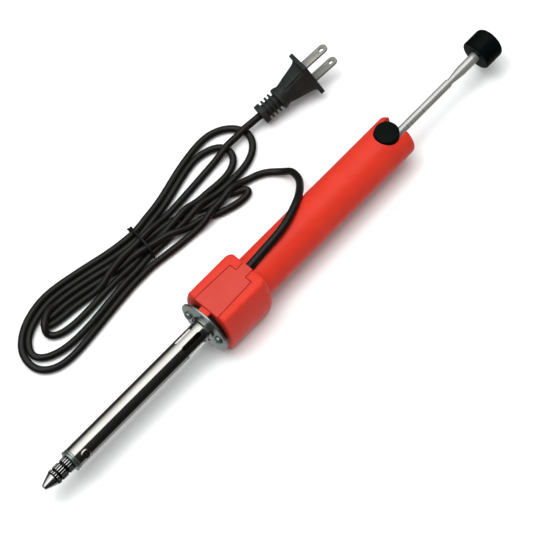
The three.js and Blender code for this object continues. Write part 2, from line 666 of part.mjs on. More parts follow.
// ---------------------------------------------------------------- assembly
place('nozzle_tip', nozzleTip(), NOZZLE_STEEL);
place('barrel_collar', barrelCollar(), ZINC);
place('tip_set_screw', tipSetScrew(), CHROME);
place('heater_barrel', heaterBarrel(), CHROME);
place('suction_tube', suctionTube(), STEEL);
place('heater_core', heaterLayer(SUCTION_TUBE.r, HEATER.coreR, 0), CERAMIC);
place('heater_winding', heaterLayer(HEATER.coreR, HEATER.windingR, HEATER.windingInset), NICHROME);
place('mica_sleeve', heaterLayer(HEATER.windingR, HEATER.sleeveR, 0), MICA);
place('mounting_flange', mountingFlange(), ZINC);
place('flange_screw_left', flangeScrew(1), ZINC);
place('flange_screw_right', flangeScrew(-1), ZINC);
place('flange_spacer', flangeSpacer(), PHENOLIC);
place('front_housing', frontHousing(), RED);
place('terminal_cover', terminalCover(), COVER_RED);
place('terminal_board', terminalBoard(), CERAMIC);
place('terminal_screw_left', terminalScrew(1), BRASS);
place('terminal_screw_right', terminalScrew(-1), BRASS);
place('supply_wire_left', supplyWire(1), WIRE_BLUE);
place('supply_wire_right', supplyWire(-1), WIRE_BROWN);
place('heater_wire_left', heaterWire(1), CERAMIC);
place('heater_wire_right', heaterWire(-1), CERAMIC);
place('handle_shell', handleShell(), RED);
place('cylinder_head', cylinderHead(), RUBBER);
place('pump_cylinder', pumpCylinder(), ALUMINIUM);
place('guide_bush', guideBush(), BRASS);
place('plunger_spring', coilSpring(PLUNGER_SPRING), STEEL);
place('piston', piston(), ALUMINIUM);
place('piston_ring', pistonRing(), RUBBER);
place('piston_bumper', tube(BUMPER.startX, BUMPER.endX, BUMPER.r, BUMPER.boreR, FACES_SMALL), RUBBER);
place('plunger_rod', plungerRod(), STEEL);
place('plunger_knob', plungerKnob(), BLACK);
place('release_button', releaseButton(), BLACK);
place('latch_plate', latchPlate(), STEEL);
place('button_spring', buttonSpring(), STEEL);
place('cord_sleeve', cordSleeve(), CORD_BLACK);
place('cord_lead', wire(LEAD_ROUTE, CORD_R, CORD_SIDES, 22), CORD_BLACK, desolderingPump);
place('cord_hank', hank(), CORD_BLACK, desolderingPump);
place('cord_tie', cordTie(), BLACK, desolderingPump);
place('plug_lead', wire(PLUG_LEAD_ROUTE, CORD_R, CORD_SIDES, 3), CORD_BLACK, desolderingPump);
place('plug_relief', plugRelief(), CORD_BLACK, plug);
place('plug_body', plugBody(), CORD_BLACK, plug);
place('plug_blade_left', plugBlade(1), STEEL, plug);
place('plug_blade_right', plugBlade(-1), STEEL, plug);

export default desolderingPump;
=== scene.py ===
"""Looks of the desoldering pump: a heated solder sucker with its mains cord tied in a hank.

Metres, in the frame of the CAD model: +X from the nozzle to the plunger knob, +Z up, floor at z = 0.
"""

import json
import math

import bmesh
import bpy
import numpy as np
from mathutils import Euler, Matrix, Vector


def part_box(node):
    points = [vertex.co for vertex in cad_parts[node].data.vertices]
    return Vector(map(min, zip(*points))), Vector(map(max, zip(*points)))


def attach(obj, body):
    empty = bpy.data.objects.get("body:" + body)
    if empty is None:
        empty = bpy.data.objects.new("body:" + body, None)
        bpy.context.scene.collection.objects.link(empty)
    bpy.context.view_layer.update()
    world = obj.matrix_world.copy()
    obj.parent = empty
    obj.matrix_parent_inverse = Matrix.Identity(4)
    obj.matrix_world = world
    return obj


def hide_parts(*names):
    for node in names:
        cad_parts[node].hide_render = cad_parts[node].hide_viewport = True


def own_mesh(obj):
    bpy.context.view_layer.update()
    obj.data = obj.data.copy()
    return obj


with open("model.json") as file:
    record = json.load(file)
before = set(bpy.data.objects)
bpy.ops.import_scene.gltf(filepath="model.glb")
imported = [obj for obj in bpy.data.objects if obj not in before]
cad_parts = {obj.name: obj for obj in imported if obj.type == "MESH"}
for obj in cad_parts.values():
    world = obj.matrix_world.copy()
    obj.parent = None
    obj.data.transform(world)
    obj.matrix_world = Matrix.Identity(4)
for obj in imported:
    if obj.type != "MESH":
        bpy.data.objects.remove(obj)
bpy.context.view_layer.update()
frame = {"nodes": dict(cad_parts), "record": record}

MM = 0.001
SEGMENTS = 96  # sides of a smooth round piece


def span(node):
    """Where a turned CAD node starts and ends along X, and its outer radius."""
    low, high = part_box(node)
    return low.x, high.x, (high.y - low.y) / 2


AXIS_Z = sum(c.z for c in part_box("pump_cylinder")) / 2
AXIS = Vector((0, 0, AXIS_Z))


def from_axis(point):
    """How a point lies off the tool's axis, square to it."""
    return Vector((0, point.y, point.z - AXIS_Z))


def rotation(degrees, axis):
    return Matrix.Rotation(math.radians(degrees), 4, axis)


def link(name, data):
    obj = bpy.data.objects.new(name, data)
    bpy.context.scene.collection.objects.link(obj)
    return obj


# ---------------------------------------------------------------- camera
CAMERA_AT = Vector((-0.5112, -0.6576, 1.6094))
CAMERA_TARGET = Vector((-0.0070, -0.0006, AXIS_Z))
CAMERA_ROLL = -0.188  # radians
CAMERA_LENS = 216.5  # mm, on a 36 mm sensor


def make_camera():
    data = bpy.data.cameras.new("camera")
    data.lens = CAMERA_LENS
    data.sensor_width = 36
    data.clip_end = 20
    camera = link("camera", data)
    look = (CAMERA_TARGET - CAMERA_AT).normalized()
    right = look.cross(Vector((0, 0, 1))).normalized()
    up = right.cross(look)
    rolled_right = right * math.cos(CAMERA_ROLL) + up * math.sin(CAMERA_ROLL)
    rolled_up = up * math.cos(CAMERA_ROLL) - right * math.sin(CAMERA_ROLL)
    turn = Matrix((rolled_right, rolled_up, -look)).transposed()
    camera.matrix_world = Matrix.Translation(CAMERA_AT) @ turn.to_4x4()
    bpy.context.scene.camera = camera


make_camera()


# ---------------------------------------------------------------- material helpers
# how far working marks are drawn out: a small factor makes them long on that axis
ALONG = (0.03, 1, 1)
AROUND = (1, 0.05, 0.05)
EVEN = (1, 1, 1)
FINE = (3, 3, 3)


def ranged(tree, source, start, end, low, high, kind="LINEAR"):
    """Maps the stretch of values from start to end on to low to high."""
    node = tree.nodes.new("ShaderNodeMapRange")
    node.interpolation_type = kind
    node.inputs["From Min"].default_value = start
    node.inputs["From Max"].default_value = end
    node.inputs["To Min"].default_value = low
    node.inputs["To Max"].default_value = high
    tree.links.new(source, node.inputs["Value"])
    return node.outputs["Result"]


def combine(tree, operation, first, second):
    """A Math node on two outputs."""
    node = tree.nodes.new("ShaderNodeMath")
    node.operation = operation
    tree.links.new(first, node.inputs[0])
    tree.links.new(second, node.inputs[1])
    return node.outputs["Value"]


class Surface:
    """A procedural material: one Principled shader and the textures that drive it."""

    def __init__(self, name, roughness, metallic=0.0, specular=0.5):
        self.material = bpy.data.materials.new(name)
        self.material.use_nodes = True
        self.tree = self.material.node_tree
        self.nodes = self.tree.nodes
        self.links = self.tree.links
        self.shader = self.nodes["Principled BSDF"]
        self.shader.inputs["Roughness"].default_value = roughness
        self.shader.inputs["Metallic"].default_value = metallic
        self.shader.inputs["Specular IOR Level"].default_value = specular
        self.place = self.nodes.new("ShaderNodeTexCoord").outputs["Object"]
        self.height = None

    def noise(self, scale, detail=3.0, stretch=EVEN):
        """Noise on object coordinates; scale is in cells per metre along each stretched axis."""
        mapping = self.nodes.new("ShaderNodeMapping")
        mapping.inputs["Scale"].default_value = [scale * s for s in stretch]
        texture = self.nodes.new("ShaderNodeTexNoise")
        texture.inputs["Scale"].default_value = 1
        texture.inputs["Detail"].default_value = detail
        self.links.new(self.place, mapping.inputs["Vector"])
        self.links.new(mapping.outputs["Vector"], texture.inputs["Vector"])
        return texture.outputs["Fac"]

    def colour(self, source, first, second, start=0.3, end=0.7):
        ramp = self.nodes.new("ShaderNodeValToRGB")
        ramp.color_ramp.elements[0].position = start
        ramp.color_ramp.elements[0].color = (*first, 1)
        ramp.color_ramp.elements[1].position = end
        ramp.color_ramp.elements[1].color = (*second, 1)
        self.links.new(source, ramp.inputs["Fac"])
        self.links.new(ramp.outputs["Color"], self.shader.inputs["Base Color"])

    def rough(self, source, low, high):
        self.links.new(ranged(self.tree, source, 0.3, 0.7, low, high), self.shader.inputs["Roughness"])

    def bump(self, source, distance, strength=1.0):
        node = self.nodes.new("ShaderNodeBump")
        node.inputs["Distance"].default_value = distance
        node.inputs["Strength"].default_value = strength
        self.links.new(source, node.inputs["Height"])
        if self.height:
            self.links.new(self.height, node.inputs["Normal"])
        self.height = node.outputs["Normal"]
        self.links.new(self.height, self.shader.inputs["Normal"])


def moulded(name, dark, light, roughness, grain, specular):
    """Moulded plastic: faint mottling, slow waves, and a fine skin that breaks up its highlights."""
    surface = Surface(name, roughness, specular=specular)
    surface.colour(surface.noise(60, 4), dark, light)
    surface.rough(surface.noise(140, 3), roughness - 0.05, roughness + 0.06)
    surface.bump(surface.noise(grain, 2), 0.03 * MM, 0.5)
    surface.bump(surface.noise(70, 1), 0.06 * MM, 0.5)
    return surface.material


def metal(name, dark, light, roughness, stretch, metallic):
    """Metal with fine working marks."""
    surface = Surface(name, roughness, metallic=metallic)
    marks = surface.noise(900, 3, stretch)
    surface.colour(surface.noise(50, 3), dark, light)
    surface.rough(marks, roughness * 0.8, roughness * 1.25)
    surface.bump(marks, 0.004 * MM, 0.6)
    return surface.material


# name: darker colour, lighter colour, roughness, grain in cells per metre, specular level
MOULDED = {
    "red_plastic": ((0.53, 0.028, 0.014), (0.57, 0.033, 0.017), 0.38, 2600, 0.15),
    "cover_plastic": ((0.465, 0.042, 0.028), (0.50, 0.050, 0.034), 0.52, 1900, 0.18),
    "black_plastic": ((0.0007, 0.0018, 0.0016), (0.0014, 0.0030, 0.0027), 0.36, 2400, 0.035),
    "cord_pvc": ((0.0038, 0.0038, 0.0032), (0.0062, 0.0061, 0.0052), 0.33, 1500, 0.24),
    "plug_pvc": ((0.0130, 0.0146, 0.0136), (0.0180, 0.0200, 0.0188), 0.44, 1700, 0.18),
    "tie_plastic": ((0.0040, 0.0048, 0.0058), (0.0080, 0.0090, 0.0105), 0.45, 2200, 0.20),
    "phenolic": ((0.0050, 0.0040, 0.0036), (0.0110, 0.0085, 0.0075), 0.60, 1200, 0.20),
    "rubber": ((0.0080, 0.0080, 0.0080), (0.0160, 0.0160, 0.0160), 0.75, 1500, 0.20),
    "ceramic": ((0.74, 0.69, 0.58), (0.84, 0.80, 0.71), 0.70, 900, 0.30),
    "mica": ((0.012, 0.010, 0.008), (0.030, 0.024, 0.018), 0.85, 600, 0.06),
    "blue_insulation": ((0.03, 0.10, 0.24), (0.05, 0.14, 0.30), 0.45, 1500, 0.30),
    "brown_insulation": ((0.13, 0.05, 0.02), (0.19, 0.08, 0.03), 0.45, 1500, 0.30),
}
# name: darker colour, lighter colour, roughness, how the working marks run, metallic
METALS = {
    "chrome": ((0.39, 0.385, 0.355), (0.44, 0.435, 0.41), 0.085, ALONG, 1.0),
    "steel": ((0.42, 0.42, 0.405), (0.48, 0.48, 0.465), 0.31, AROUND, 0.68),
    "zinc_plate": ((0.25, 0.295, 0.28), (0.29, 0.34, 0.32), 0.26, FINE, 0.9),
    "spring_steel": ((0.48, 0.48, 0.48), (0.62, 0.62, 0.62), 0.25, EVEN, 1.0),
    "nichrome": ((0.035, 0.031, 0.027), (0.075, 0.068, 0.060), 0.50, AROUND, 1.0),
    "blade_metal": ((0.33, 0.34, 0.30), (0.40, 0.41, 0.365), 0.38, EVEN, 0.8),
    "aluminium": ((0.62, 0.63, 0.64), (0.74, 0.75, 0.76), 0.30, AROUND, 1.0),
    "brass": ((0.60, 0.42, 0.15), (0.74, 0.56, 0.24), 0.28, AROUND, 1.0),
}


NOZZLE_SHOULDER = -177.8 * MM  # where the nozzle's cone ends
NOZZLE_SHADED_BELOW_R = 4.6 * MM  # the nozzle is painted dark below this radius: painted shade down in its grooves
NOZZLE_EDGE = 0.06 * MM  # half the width of the change between the two


def nozzle_steel():
    """Bright turned steel, with painted shade darkening the grooves behind the cone."""
    surface = Surface("nozzle_steel", 0.17, metallic=1.0)
    tree, nodes, links = surface.tree, surface.nodes, surface.links
    flat = nodes.new("ShaderNodeMapping")
    flat.inputs["Scale"].default_value = (0, 1, 1)
    links.new(surface.place, flat.inputs["Vector"])
    radius = nodes.new("ShaderNodeVectorMath")
    radius.operation = "DISTANCE"
    radius.inputs[1].default_value = AXIS
    links.new(flat.outputs["Vector"], radius.inputs[0])
    split = nodes.new("ShaderNodeSeparateXYZ")
    links.new(surface.place, split.inputs["Vector"])
    inner, outer = NOZZLE_SHADED_BELOW_R - NOZZLE_EDGE, NOZZLE_SHADED_BELOW_R + NOZZLE_EDGE
    # painted shade: the grooves behind the cone are coloured near black
    sunken = ranged(tree, radius.outputs["Value"], inner, outer, 1, 0)
    behind = ranged(tree, split.outputs["X"], NOZZLE_SHOULDER, NOZZLE_SHOULDER + 0.1 * MM, 0, 1)
    groove_shade = combine(tree, "MULTIPLY", sunken, behind)
    surface.colour(groove_shade, (0.50, 0.50, 0.49), (0.012, 0.012, 0.011), 0.2, 0.8)
    marks = surface.noise(2700, 3)
    surface.rough(marks, 0.13, 0.22)
    surface.bump(marks, 0.004 * MM, 0.6)
    return surface.material


def make_materials():
    materials = {name: moulded(name, *look) for name, look in MOULDED.items()}
    for name, look in METALS.items():
        materials[name] = metal(name, *look)
    materials["nozzle_steel"] = nozzle_steel()
    return materials


MATERIALS = make_materials()
SLOTS = {part["node"]: part["material_slot"] for part in frame["record"]["subparts"]}


# ---------------------------------------------------------------- mesh helpers
def merge_points(mesh, distance):
    """Merges doubled points and turns the faces outwards."""
    work = bmesh.new()
    work.from_mesh(mesh)
    bmesh.ops.remove_doubles(work, verts=work.verts, dist=distance)
    bmesh.ops.recalc_face_normals(work, faces=work.faces)
    work.to_mesh(mesh)
    work.free()


def from_faces(name, vertices, faces):
    mesh = bpy.data.meshes.new(name)
    mesh.from_pydata([tuple(v) for v in vertices], [], faces)
    merge_points(mesh, 1e-7)
    return link(name, mesh)


def smooth(obj, angle=35):
    obj.data.shade_smooth()
    obj.data.set_sharp_from_angle(angle=math.radians(angle))


def apply_modifiers(obj):
    graph = bpy.context.evaluated_depsgraph_get()
    graph.update()
    mesh = bpy.data.meshes.new_from_object(obj.evaluated_get(graph))
    obj.modifiers.clear()
    obj.data = mesh
    return obj


def bevel(obj, width, segments=3, angle=32):
    modifier = obj.modifiers.new("bevel", "BEVEL")
    modifier.width = width
    modifier.segments = segments
    modifier.limit_method = "ANGLE"
    modifier.angle_limit = math.radians(angle)
    return apply_modifiers(obj)


def carve(obj, cutters, operation="DIFFERENCE"):
    """Cuts the cutters out of a piece, or adds them to it, and uses them up."""
    for cutter in cutters:
        modifier = obj.modifiers.new("carve", "BOOLEAN")
        modifier.solver = "EXACT"
        modifier.operation = operation
        modifier.object = cutter
        apply_modifiers(obj)
        bpy.data.objects.remove(cutter)
    return obj


def lathe(name, profile, segments=SEGMENTS, radius_at=None):
    """A piece turned about the tool's axis from (x, radius) points; radius_at can change each radius."""
    vertices = []
    rings = []
    for k, (x, r) in enumerate(profile):
        if r < 1e-9:
            rings.append([len(vertices)] * segments)
            vertices.append((x, 0, AXIS_Z))
            continue
        rings.append(range(len(vertices), len(vertices) + segments))
        for i in range(segments):
            angle = 2 * math.pi * i / segments
            radius = radius_at(k, angle, r) if radius_at else r
            vertices.append((x, radius * math.cos(angle), AXIS_Z + radius * math.sin(angle)))
    faces = []
    for ring, following in zip(rings, rings[1:]):
        for i in range(segments):
            j = (i + 1) % segments
            corners = [ring[i], ring[j], following[j], following[i]]
            face = list(dict.fromkeys(corners))
            if len(face) > 2:
                faces.append(face)
    return from_faces(name, vertices, faces)


def arc(x, r, radius, start, end, steps=6):
    """Points on an arc about (x, r), with its angles in degrees from +X towards the second axis."""
    points = []
    for i in range(steps + 1):
        angle = math.radians(start + (end - start) * i / steps)
        points.append((x + radius * math.cos(angle), r + radius * math.sin(angle)))
    return points


def radial_normals(obj, radius):
    """Gives the faces that lie on a cylinder about the tool's axis that cylinder's exact normals."""
    mesh = obj.data
    normals = [Vector(n.vector) for n in mesh.corner_normals]
    for polygon in mesh.polygons:
        outward = [from_axis(mesh.vertices[v].co) for v in polygon.vertices]
        on_cylinder = all(abs(out.length - radius) <= 0.04 * MM for out in outward)
        if on_cylinder and all(abs(polygon.normal.dot(out.normalized())) >= 0.97 for out in outward):
            for loop, out in zip(polygon.loop_indices, outward):
                normals[loop] = out.normalized()
    mesh.normals_split_custom_set(normals)
    return obj


def skin(name, rings, closed=False):
    """A piece over a row of rings with the same number of points: capped, or closed into a loop."""
    count, last = len(rings[0]), len(rings) - 1
    faces = [] if closed else [list(range(count))[::-1], [last * count + i for i in range(count)]]
    for k in range(len(rings) if closed else last):
        base, following = k * count, (k + 1) % len(rings) * count
        for i in range(count):
            j = (i + 1) % count
            faces.append([base + i, base + j, following + j, following + i])
    return from_faces(name, [point for ring in rings for point in ring], faces)


def sweep(name, path, radius, sides=12, closed=False):
    """A round tube along a path of points."""
    points = [Vector(p) for p in path]
    rings = []
    count = len(points)
    side = None
    for i, point in enumerate(points):
        before = points[i - 1] if i or closed else point
        after = points[(i + 1) % count] if i < count - 1 or closed else point
        along = (after - before).normalized()
        if side is None:
            side = along.orthogonal().normalized()
        side = (side - along * side.dot(along)).normalized()
        across = along.cross(side)
        angles = [2 * math.pi * k / sides for k in range(sides)]
        rings.append([point + (side * math.cos(a) + across * math.sin(a)) * radius for a in angles])
    return skin(name, rings, closed)


def rectangle(start, end, half):
    """The outline in (x, y) of a rectangle that lies evenly about y = 0."""
    return [(start, -half), (end, -half), (end, half), (start, half)]


def prism(name, outline, low, high):
    """A straight piece from an outline of (x, y) points, between two heights."""
    return skin(name, [[(x, y, z) for x, y in outline] for z in (low, high)])


def upright(name, profile, segments=64):
    """A round piece standing on its own axis, from (height, radius) points."""
    piece = lathe(name, profile, segments)
    piece.data.transform(rotation(-90, "Y") @ Matrix.Translation(-AXIS))
    return piece


def join_objects(objects):
    """Puts several meshes into the first one."""
    work = bmesh.new()
    for obj in objects:
        work.from_mesh(obj.data)
    work.to_mesh(objects[0].data)
    work.free()
    for obj in objects[1:]:
        bpy.data.objects.remove(obj)
    return objects[0]


def finish_piece(obj, *nodes, body="root", angle=35):
    """Everything that a finished piece needs: shading, its material, its body and what it stands for."""
    if obj.type == "MESH":
        smooth(obj, angle)
    slot = SLOTS[nodes[0]]
    obj.data.materials.clear()
    obj.data.materials.append(MATERIALS[slot])
    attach(obj, body)
    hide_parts(*nodes)
    return obj


# ---------------------------------------------------------------- the cord
CORD_RADIUS = 2.15 * MM
CORD_STEP = 4.4  # mm between the points of the relaxed cord
LOOSE_POINTS = 4  # how many of the lead's last points the hank can push aside
LEAD_SWELL = 0.12  # how much thicker the cord is where it leaves its sleeve
SWELL_LENGTH = 90  # mm

# the free lead, from the sleeve over the handle and down to the bench beside the hank
LEAD_ROUTE = [
    (6.9, 1.9, 33.85), (10.3, 2.2, 33.95), (13.8, 2.9, 33.8), (17.7, 4.1, 33.3), (21.7, 5.6, 32.5),
    (25.4, 7.1, 31.6), (29.6, 9, 30.5), (34, 11.8, 27.8), (38.8, 15.6, 23.4), (43.2, 19.9, 18.7),
    (46.8, 24.4, 14.4), (49.1, 28.7, 11), (50.3, 33.1, 8.2), (50.5, 37.5, 6), (49.7, 41.7, 4.4),
    (47.9, 45.2, 3.4), (45.7, 48, 2.8), (42.6, 50.4, 2.6), (40.4, 51.3, 2.6),
]
# from there over the near strands of the hank to its front end
OVER_HANK = [
    (38.4, 51.9, 4.2), (35.3, 52.5, 6), (30.4, 52.9, 8.4), (20.4, 53.6, 10), (10.8, 53.9, 9),
    (1.9, 52.9, 6.3), (-8.2, 52.3, 3), (-22, 52.5, 2.4), (-36, 54.6, 2.4), (-46, 58, 2.4),
]
PLUG_ROUTE = [
    (40, 76, 7), (50, 75, 7.4), (59.6, 74.1, 7.2), (61.6, 73.9, 6.9), (63.6, 73.7, 6.75),
    (65.3, 73.45, 6.83), (66.6, 73.2, 7),
]

TIE_X = -37.5
TIE_FAR_Y = 75.5  # the strand farthest from the tool passes the tie here
STRAND_PITCH = 2.2
LAYERS = (2.2, 5.9)  # the strands lie in two layers in the tie, every other one on top
# each turn of the hank: its end, its widest points on the far and near side, the places in the tie, counted
# from the far side, of its far and near strand, its height before it settles, and if its far strand is first
TURNS = [
    ((-136.4, 62), (-96, 89.4), (-116.5, 49.3), 0, None, 2.3, False),
    ((56.3, 73.5), (34, 91.6), (36, 57.8), 0, 6, 5.5, True),
    ((-131.5, 68), (-101, 85.7), (-103, 55.4), 1, 6, 4.8, False),
    ((42.1, 73.5), (20, 86.4), (22, 61.4), 1, 4, 5.5, True),
    ((-118.5, 71), (-95, 81.2), (-98, 63), 2, 4, 5.6, False),
    ((31, 49), (19, 54.4), (22, 43.8), 2, 5, 2.3, True),
    ((-116, 75.5), (-99, 80), (-105, 72), 5, 3, 3.6, True),
]


def quarter(centre, reach, start, end, height, steps=7):
    """A quarter of an ellipse, without its last point."""
    points = []
    for i in range(steps):
        angle = math.radians(start + (end - start) * i / steps)
        x = centre[0] + reach[0] * math.cos(angle)
        points.append((x, centre[1] + reach[1] * math.sin(angle), height))
    return points


def run_in(place, widest, height, steps=6):
    """A strand that eases from its place in the tie to the widest part of its turn."""
    tie_y, tie_z = TIE_FAR_Y - STRAND_PITCH * place, LAYERS[place % 2]
    points = []
    for i in range(steps):
        t = i / steps
        ease = t * t * (2.4 - 1.4 * t)
        x = TIE_X + (widest[0] - TIE_X) * t
        points.append((x, tie_y + (widest[1] - tie_y) * ease, tie_z + (height - tie_z) * t))
    return points


def turn_points(end, far, near, far_place, near_place, height, far_first):
    """One turn of the hank: in from the tie, round two quarter ellipses and back to the tie."""
    points = run_in(far_place, far, height)
    points += quarter((far[0], end[1]), (end[0] - far[0], far[1] - end[1]), 90, 0, height)
    points += quarter((near[0], end[1]), (end[0] - near[0], end[1] - near[1]), 0, -90, height)
    points += [(*near, height)] if near_place is None else run_in(near_place, near, height)[::-1]
    return points if far_first else points[::-1]


def cord_plan():
    """The whole cord as laid out, before it settles under its own weight."""
    points = LEAD_ROUTE + OVER_HANK
    for turn in TURNS:
        points = points + turn_points(*turn)
    return points + PLUG_ROUTE


def resample(points, step):
    """Points at an even spacing along a line of points."""
    points = np.array(points, float)
    gaps = np.linalg.norm(np.diff(points, axis=0), axis=1)
    along = np.concatenate([[0], np.cumsum(gaps)])
    count = max(2, round(along[-1] / step))
    places = np.linspace(0, along[-1], count + 1)
    return np.stack([np.interp(places, along, points[:, k]) for k in range(3)], axis=1)


FALL = 0.12  # mm that a free point sinks in each round
REACH = 4  # points closer than this along the cord don't push each other apart


def settle(plan, pinned_start, pinned_end, rounds=400, last_rounds=60):
    """Lays the cord down: it falls, keeps its length, and rests on the floor and on itself.

    In the last rounds the plan lets go of it and its own stiffness evens it out.
    """
    rope = plan.copy()
    target = plan[:, :2].copy()
    for _ in range(2):
        target[1:-1] = (target[:-2] + 2 * target[1:-1] + target[2:]) / 4
    count = len(rope)
    radius = CORD_RADIUS / MM
    width = 2 * radius * 1.01
    step = np.linalg.norm(np.diff(np.column_stack([target, plan[:, 2]]), axis=0), axis=1)
    apart = np.abs(np.subtract.outer(np.arange(count), np.arange(count))) > REACH
    pinned = np.zeros(count, bool)
    pinned[:pinned_start] = True
    pinned[count - pinned_end:] = True
    for i in range(rounds + last_rounds):
        pull, stiffness = (0.10, 0.12) if i < rounds else (0.03, 0.30)
        rope[:, 2] -= FALL
        rope[:, :2] += pull * (target - rope[:, :2])
        middle = (rope[:-2] + rope[2:]) / 2
        rope[1:-1] += stiffness * (middle - rope[1:-1])
        for _ in range(4):
            keep_length(rope, step)
            push_apart(rope, apart, width)
            rope[:, 2] = np.maximum(rope[:, 2], radius)
            rope[pinned] = plan[pinned]
    return rope


def keep_length(rope, step):
    """Draws each pair of neighbouring points to their own distance."""
    gap = rope[1:] - rope[:-1]
    length = np.linalg.norm(gap, axis=1)
    push = (gap.T * (0.5 * (length - step) / length)).T
    rope[:-1] += push
    rope[1:] -= push


def push_apart(rope, apart, width):
    """Moves strands that overlap to a cord's width from each other."""
    delta = rope[:, None, :] - rope[None, :, :]
    distance = np.linalg.norm(delta, axis=2)
    first, second = np.nonzero(apart & (distance < width))
    away = delta[first, second] / np.maximum(distance[first, second], 1e-6)[:, None]
    moved = np.zeros_like(rope)
    hits = np.zeros(len(rope))
    np.add.at(moved, first, 0.5 * (width - distance[first, second])[:, None] * away)
    np.add.at(hits, first, 1)
    rope += moved / np.maximum(hits, 1)[:, None] * 1.2


def make_cord():
    """The whole mains cord as one curve, and the points it runs through."""
    plan = resample(cord_plan(), CORD_STEP)
    lead_length = sum(math.dist(a, b) for a, b in zip(LEAD_ROUTE, LEAD_ROUTE[1:]))
    rope = settle(plan, pinned_start=round(lead_length / CORD_STEP) - LOOSE_POINTS, pinned_end=2) * MM
    data = bpy.data.curves.new("mains_cord", "CURVE")
    data.dimensions = "3D"
    data.bevel_depth = CORD_RADIUS
    data.bevel_resolution = 6
    data.use_fill_caps = True
    spline = data.splines.new("NURBS")
    spline.points.add(len(rope) - 1)
    spline.order_u = 4
    spline.use_endpoint_u = True
    spline.resolution_u = 3
    for i, (point, place) in enumerate(zip(spline.points, rope)):
        point.co = (*place, 1)
        point.radius = 1 + LEAD_SWELL * max(0.0, 1 - i * CORD_STEP / SWELL_LENGTH)
    cord = link("mains_cord", data)
    return finish_piece(cord, "cord_lead", "cord_hank", "plug_lead"), rope


mains_cord, CORD_LINE = make_cord()


# ---------------------------------------------------------------- cord sleeve and tie
# the sleeve starts inside the housing, leans up a little and heads slightly to the far side
SLEEVE_LEAN = Euler((0, math.radians(-3.6), math.radians(3))).to_matrix().to_4x4()
SLEEVE_PLACE = Matrix.Translation((-24.6 * MM, 0.2 * MM, AXIS_Z + 13.9 * MM)) @ SLEEVE_LEAN


def along_sleeve(name, profile):
    """A round piece about the sleeve's axis, from (distance along it, radius) points."""
    piece = lathe(name, profile, 48)
    piece.data.transform(SLEEVE_PLACE @ Matrix.Translation(-AXIS))
    return piece


def make_cord_sleeve():
    """The tapered sleeve where the cord leaves the housing, with a soft lip at its mouth."""
    length = 31 * MM
    start_r, end_r = 2.7 * MM, CORD_RADIUS * (1 + LEAD_SWELL)
    profile = [(0, 0), (0, start_r), (length * 0.5, (start_r + end_r) / 2), (length, end_r)]
    profile += [(length + 0.6 * MM, end_r * 0.97), (length + 0.6 * MM, 0)]
    return finish_piece(along_sleeve("cord_sleeve_piece", profile), "cord_sleeve")


def hull(points):
    """Corners of the convex outline around 2-D points, in order."""
    points = sorted(map(tuple, points))

    def half(ordered):
        chain = []
        for p in ordered:
            while len(chain) > 1:
                (ax, ay), (bx, by) = chain[-2], chain[-1]
                if (bx - ax) * (p[1] - ay) - (by - ay) * (p[0] - ax) > 0:
                    break
                chain.pop()
            chain.append(p)
        return chain[:-1]

    return half(points) + half(points[::-1])


TIE_R = 0.75 * MM
TIE_NEAR_X = -39.2  # the tie's near end; from there it slants forward to the knot
TIE_SLANT = 0.17
TIED_FROM_Y = 58.5  # strands nearer to the tool than this lie outside the tie


def tie_outline():
    """The tie's line in (0, y, z): a rounded outline drawn tight round the strands that pass it."""
    reach = CORD_RADIUS + TIE_R * 0.8
    around = []
    for a, b in zip(CORD_LINE, CORD_LINE[1:]):
        if (a[0] - TIE_X * MM) * (b[0] - TIE_X * MM) > 0 or min(a[1], b[1]) < TIED_FROM_Y * MM:
            continue
        for y, z in arc((a[1] + b[1]) / 2, (a[2] + b[2]) / 2, reach, 0, 360, 24)[:-1]:
            around.append((y, max(z, TIE_R)))
    corners = hull(around)
    outline = resample([(0, *p) for p in corners + corners[:1]], 0.8 * MM)[:-1]
    for _ in range(3):
        outline = (np.roll(outline, 1, 0) + 2 * outline + np.roll(outline, -1, 0)) / 4
    return outline


def make_tie():
    """A thin tie pulled round the waist of the hank, with its knot on the far side."""
    outline = tie_outline()
    near_y = min(p[1] for p in outline)
    path = [(TIE_NEAR_X * MM + TIE_SLANT * (y - near_y), y, max(z, TIE_R)) for _, y, z in outline]
    far = Vector(max(path, key=lambda p: p[1] + 0.7 * p[2]))
    parts = [sweep("cord_tie_piece", path, TIE_R, 10, closed=True)]
    for k, (dx, dy, dz) in enumerate([(0.5, 0.9, 0.3), (-0.7, 1.2, 0.6)]):
        end = far + Vector((dx * 2, dy, dz)) * MM
        bend = far + Vector((dx, dy * 0.6, dz + 0.8)) * MM
        parts.append(sweep(f"tie_tail_{k}", [far, bend, end], TIE_R * 0.8, 8))
    knot = [far + Vector((x, 0.2, 0.9 * z)) * MM for x, z in arc(0, 0, 1, 0, 360, 14)[:-1]]
    parts.append(sweep("tie_knot", knot, TIE_R * 0.85, 8, closed=True))
    return finish_piece(join_objects(parts), "cord_tie", angle=60)


# ---------------------------------------------------------------- nozzle and barrel
NOZZLE_BANDS = [(-177.2, -175.1), (-174.1, -169.9), (-168.5, -164.9)]  # front and rear edge of each, mm
KNURLS = 18  # ridges round each band


